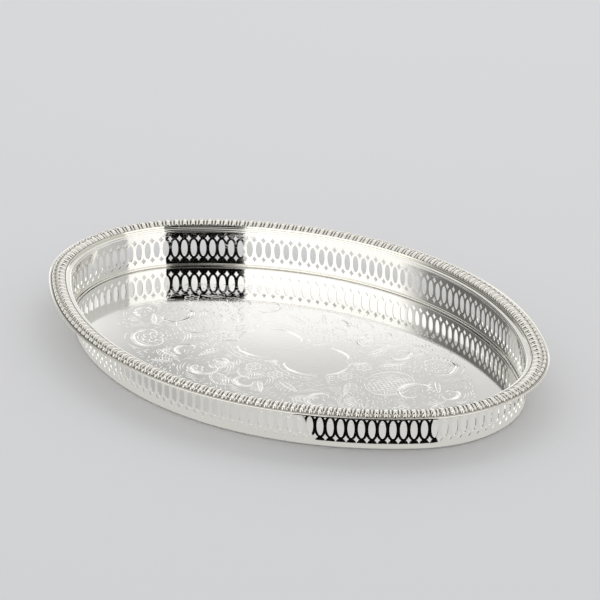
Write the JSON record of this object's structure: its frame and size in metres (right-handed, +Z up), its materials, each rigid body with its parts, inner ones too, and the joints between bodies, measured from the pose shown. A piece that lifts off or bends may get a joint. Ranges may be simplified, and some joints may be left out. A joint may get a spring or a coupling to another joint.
{
  "type": "serving tray",
  "caption": "Oval silver-plated gallery tray with a flat floor, a low wall pierced with ovals and stars, and a gadroon and bead border.",
  "frame": {"origin": "centre of the oval on the plane that the tray rests on", "axes": "+X along the tray's length, +Y across its width, +Z up out of the floor"},
  "size_m": [0.4592, 0.3186, 0.0386],
  "materials": {
    "chased_silver": "bright-cut chased silver plate, satin white",
    "polished_silver": "polished silver plate",
    "border_silver": "polished silver plate, darker in the hollows"
  },
  "bodies": {
    "root": {"floor_plate": "chased_silver", "base_wire": "polished_silver", "gallery_right": "polished_silver", "gallery_back": "polished_silver", "gallery_left": "polished_silver", "gallery_front": "polished_silver", "border_right": "border_silver", "border_back": "border_silver", "border_left": "border_silver", "border_front": "border_silver"}
  },
  "joints": []
}
